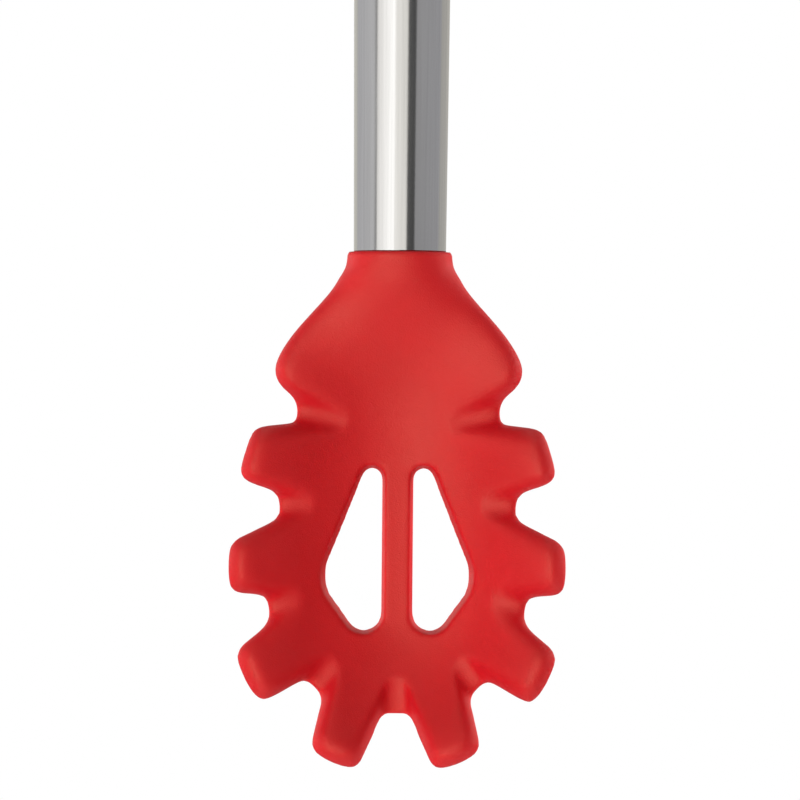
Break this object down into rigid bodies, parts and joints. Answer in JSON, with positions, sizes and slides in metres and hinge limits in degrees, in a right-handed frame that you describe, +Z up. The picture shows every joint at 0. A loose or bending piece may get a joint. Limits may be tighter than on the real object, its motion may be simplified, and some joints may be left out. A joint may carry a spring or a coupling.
{
  "type": "pasta server",
  "caption": "Slotted pasta server with a toothed, dished red silicone head on a tapered stainless tube handle with a hanging eye.",
  "frame": {"origin": "centre of the hanging hole in the end cap", "axes": "+Z up along the handle, -Y out of the open side of the bowl, X across the head"},
  "size_m": [0.0708, 0.0275, 0.3354],
  "materials": {
    "red_silicone": "matt moulded silicone",
    "core_nylon": "glass filled nylon",
    "tube_steel": "satin stainless steel",
    "potting_resin": "cured resin",
    "cap_steel": "satin stainless steel"
  },
  "bodies": {
    "root": {"silicone_head": "red_silicone", "head_core": "core_nylon", "handle_tube": "tube_steel", "tang_potting": "potting_resin", "end_cap": "cap_steel"}
  },
  "joints": []
}
